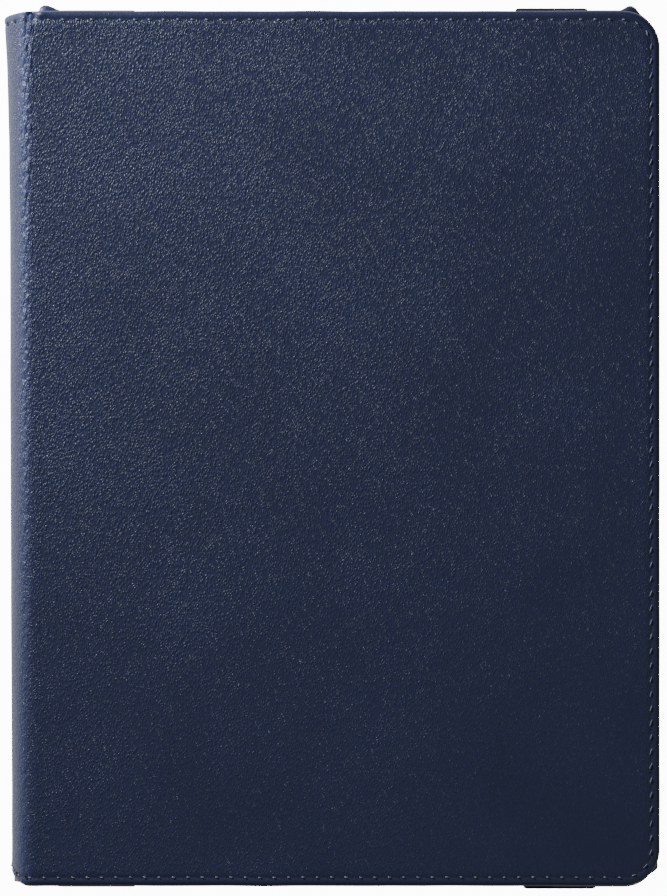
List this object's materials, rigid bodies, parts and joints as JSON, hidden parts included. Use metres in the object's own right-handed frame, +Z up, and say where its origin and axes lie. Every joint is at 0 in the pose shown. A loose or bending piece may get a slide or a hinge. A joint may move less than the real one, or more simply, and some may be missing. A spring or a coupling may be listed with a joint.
{
  "type": "tablet keyboard case",
  "caption": "Closed folio case in grained leather for a tablet, with a keyboard inside the front cover, a tray for the tablet, a fold-out stand and an elastic strap.",
  "frame": {"origin": "bottom centre of the whole closed case, which lies on its back cover", "axes": "+Z up from the back cover through the front cover, +Y along the spine towards the case's top edge, +X from the spine to the free edge"},
  "size_m": [0.1808, 0.2454, 0.0225],
  "materials": {
    "cover_leather": "satin",
    "board": "matte",
    "lining": "matte",
    "tray_liner": "matte",
    "strap": "matte",
    "tray_plastic": "matte",
    "grommet": "satin",
    "magnet": "satin",
    "keeper": "satin",
    "pull_tab": "matte",
    "palm_rest": "satin",
    "keyboard_shell": "matte",
    "keycap": "matte",
    "domes": "satin",
    "circuit": "satin",
    "battery": "satin",
    "socket": "satin",
    "screw": "satin",
    "light": "gloss",
    "bumper": "matte",
    "control": "satin"
  },
  "bodies": {
    "back_cover": {"back_leather": "cover_leather", "back_board": "board", "back_lining": "lining", "camera_grommet": "grommet", "strap_tabs": "strap", "tray_plate": "tray_plastic", "tray_rails": "tray_plastic", "tray_corner_walls": "tray_plastic", "tray_corner_lips": "tray_plastic", "tray_liner": "tray_liner", "kickstand_keepers": "keeper", "tray_corner_top_left": "cover_leather", "tray_corner_top_right": "cover_leather", "tray_corner_bottom_left": "cover_leather", "tray_corner_bottom_right": "cover_leather"},
    "kickstand": {"kickstand_leather": "cover_leather", "kickstand_board": "board", "kickstand_lining": "lining", "kickstand_magnets": "magnet", "kickstand_pull_tab": "pull_tab", "kickstand_fold": "cover_leather"},
    "strap": {"elastic_strap": "strap"},
    "spine": {"spine_leather": "cover_leather", "spine_board": "board", "spine_lining": "lining", "back_fold": "cover_leather", "front_fold": "cover_leather"},
    "front_cover": {"front_leather": "cover_leather", "front_board": "board", "front_lining": "lining", "wake_magnets": "magnet", "palm_rest_pad": "palm_rest", "keyboard_deck": "keyboard_shell", "keyboard_base": "keyboard_shell", "key_domes": "domes", "circuit_board": "circuit", "battery": "battery", "charge_socket": "socket", "keyboard_screws": "screw", "status_lights": "light", "deck_bumpers": "bumper"},
    "power_switch": {"power_switch": "control"},
    "pair_button": {"pair_button": "control"},
    "keys_function_row": {"keys_function_row": "keycap"},
    "keys_number_row": {"keys_number_row": "keycap"},
    "key_backspace": {"key_backspace": "keycap"},
    "key_tab": {"key_tab": "keycap"},
    "keys_upper_row": {"keys_upper_row": "keycap"},
    "key_caps_lock": {"key_caps_lock": "keycap"},
    "keys_home_row": {"keys_home_row": "keycap"},
    "key_enter": {"key_enter": "keycap"},
    "key_left_shift": {"key_left_shift": "keycap"},
    "keys_lower_row": {"keys_lower_row": "keycap"},
    "key_right_shift": {"key_right_shift": "keycap"},
    "keys_bottom_row": {"keys_bottom_row": "keycap"},
    "key_space": {"key_space": "keycap"}
  },
  "joints": [
    {"name": "back_fold_hinge", "type": "hinge", "parent": "back_cover", "child": "spine", "pos_m": [-0.08572, 0, 0.0024], "axis": [0, -1, 0], "range_deg": [0, 135]},
    {"name": "front_fold_hinge", "type": "hinge", "parent": "spine", "child": "front_cover", "pos_m": [-0.08572, 0, 0.021], "axis": [0, -1, 0], "range_deg": [0, 135]},
    {"name": "kickstand_crease", "type": "hinge", "parent": "back_cover", "child": "kickstand", "pos_m": [-0.00673, 0, 0.00225], "axis": [0, -1, 0], "range_deg": [0, 65]},
    {"name": "strap_pull", "type": "slide", "parent": "back_cover", "child": "strap", "axis": [0, 0, -1], "range_m": [0, 0.012], "stiffness_N_per_m": 60, "springref_m": -0.002},
    {"name": "power_switch_slide", "type": "slide", "parent": "front_cover", "child": "power_switch", "axis": [0, 1, 0], "range_m": [0, 0.003]},
    {"name": "pair_button_press", "type": "slide", "parent": "front_cover", "child": "pair_button", "axis": [0, 0, 1], "range_m": [0, 0.0004], "stiffness_N_per_m": 300, "springref_m": -0.0002},
    {"name": "keys_function_row_press", "type": "slide", "parent": "front_cover", "child": "keys_function_row", "axis": [0, 0, 1], "range_m": [0, 0.0012], "stiffness_N_per_m": 500, "springref_m": -0.0002, "deforming": ["key_domes"]},
    {"name": "keys_number_row_press", "type": "slide", "parent": "front_cover", "child": "keys_number_row", "axis": [0, 0, 1], "range_m": [0, 0.0012], "stiffness_N_per_m": 500, "springref_m": -0.0002, "deforming": ["key_domes"]},
    {"name": "key_backspace_press", "type": "slide", "parent": "front_cover", "child": "key_backspace", "axis": [0, 0, 1], "range_m": [0, 0.0012], "stiffness_N_per_m": 500, "springref_m": -0.0002, "deforming": ["key_domes"]},
    {"name": "key_tab_press", "type": "slide", "parent": "front_cover", "child": "key_tab", "axis": [0, 0, 1], "range_m": [0, 0.0012], "stiffness_N_per_m": 500, "springref_m": -0.0002, "deforming": ["key_domes"]},
    {"name": "keys_upper_row_press", "type": "slide", "parent": "front_cover", "child": "keys_upper_row", "axis": [0, 0, 1], "range_m": [0, 0.0012], "stiffness_N_per_m": 500, "springref_m": -0.0002, "deforming": ["key_domes"]},
    {"name": "key_caps_lock_press", "type": "slide", "parent": "front_cover", "child": "key_caps_lock", "axis": [0, 0, 1], "range_m": [0, 0.0012], "stiffness_N_per_m": 500, "springref_m": -0.0002, "deforming": ["key_domes"]},
    {"name": "keys_home_row_press", "type": "slide", "parent": "front_cover", "child": "keys_home_row", "axis": [0, 0, 1], "range_m": [0, 0.0012], "stiffness_N_per_m": 500, "springref_m": -0.0002, "deforming": ["key_domes"]},
    {"name": "key_enter_press", "type": "slide", "parent": "front_cover", "child": "key_enter", "axis": [0, 0, 1], "range_m": [0, 0.0012], "stiffness_N_per_m": 500, "springref_m": -0.0002, "deforming": ["key_domes"]},
    {"name": "key_left_shift_press", "type": "slide", "parent": "front_cover", "child": "key_left_shift", "axis": [0, 0, 1], "range_m": [0, 0.0012], "stiffness_N_per_m": 500, "springref_m": -0.0002, "deforming": ["key_domes"]},
    {"name": "keys_lower_row_press", "type": "slide", "parent": "front_cover", "child": "keys_lower_row", "axis": [0, 0, 1], "range_m": [0, 0.0012], "stiffness_N_per_m": 500, "springref_m": -0.0002, "deforming": ["key_domes"]},
    {"name": "key_right_shift_press", "type": "slide", "parent": "front_cover", "child": "key_right_shift", "axis": [0, 0, 1], "range_m": [0, 0.0012], "stiffness_N_per_m": 500, "springref_m": -0.0002, "deforming": ["key_domes"]},
    {"name": "keys_bottom_row_press", "type": "slide", "parent": "front_cover", "child": "keys_bottom_row", "axis": [0, 0, 1], "range_m": [0, 0.0012], "stiffness_N_per_m": 500, "springref_m": -0.0002, "deforming": ["key_domes"]},
    {"name": "key_space_press", "type": "slide", "parent": "front_cover", "child": "key_space", "axis": [0, 0, 1], "range_m": [0, 0.0012], "stiffness_N_per_m": 500, "springref_m": -0.0002, "deforming": ["key_domes"]}
  ]
}
